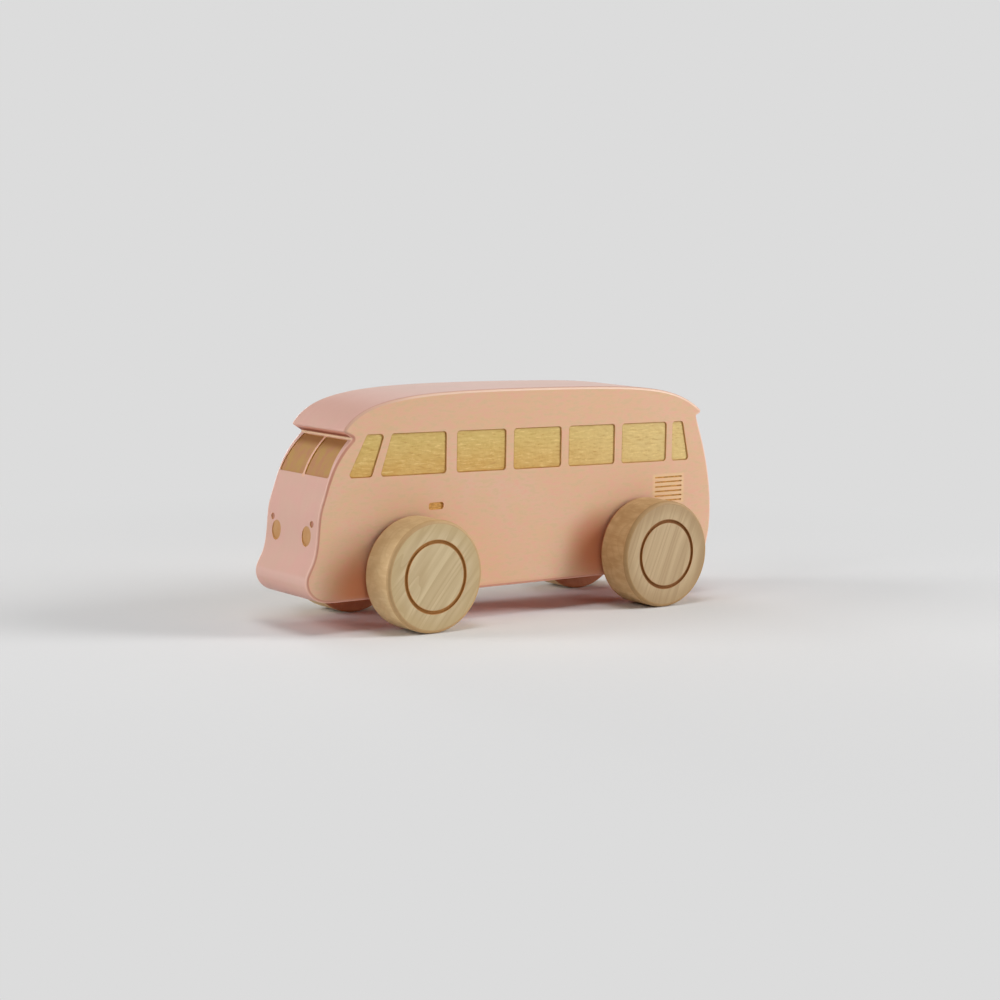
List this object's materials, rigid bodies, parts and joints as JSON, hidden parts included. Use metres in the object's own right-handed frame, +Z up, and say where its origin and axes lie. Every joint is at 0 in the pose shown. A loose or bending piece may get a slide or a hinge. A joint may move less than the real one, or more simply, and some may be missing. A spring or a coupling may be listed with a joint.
{
  "type": "wooden toy bus",
  "caption": "Solid wooden toy bus with engraved side windows and windscreen, rolling on ring-grooved wheels glued to free-turning dowel axles.",
  "frame": {"origin": "on the ground under the middle of the bus", "axes": "+X towards the front, +Y to the bus's left side, +Z up"},
  "size_m": [0.1748, 0.063, 0.079],
  "materials": {
    "stained_wood": "pink-peach stain under a smooth satin lacquer, engravings filled golden",
    "pale_wood": "sanded bare pale hardwood with a burnt ring groove",
    "dowel_wood": "bare dowel"
  },
  "bodies": {
    "bus_body": {"body_block": "stained_wood"},
    "front_wheelset": {"front_axle": "dowel_wood", "front_left_wheel": "pale_wood", "front_right_wheel": "pale_wood"},
    "rear_wheelset": {"rear_axle": "dowel_wood", "rear_left_wheel": "pale_wood", "rear_right_wheel": "pale_wood"}
  },
  "joints": [
    {"name": "front_axle_spin", "type": "hinge", "parent": "bus_body", "child": "front_wheelset", "pos_m": [0.04655, 0, 0.019], "axis": [0, 1, 0], "continuous": true},
    {"name": "rear_axle_spin", "type": "hinge", "parent": "bus_body", "child": "rear_wheelset", "pos_m": [-0.05345, 0, 0.019], "axis": [0, 1, 0], "continuous": true}
  ]
}
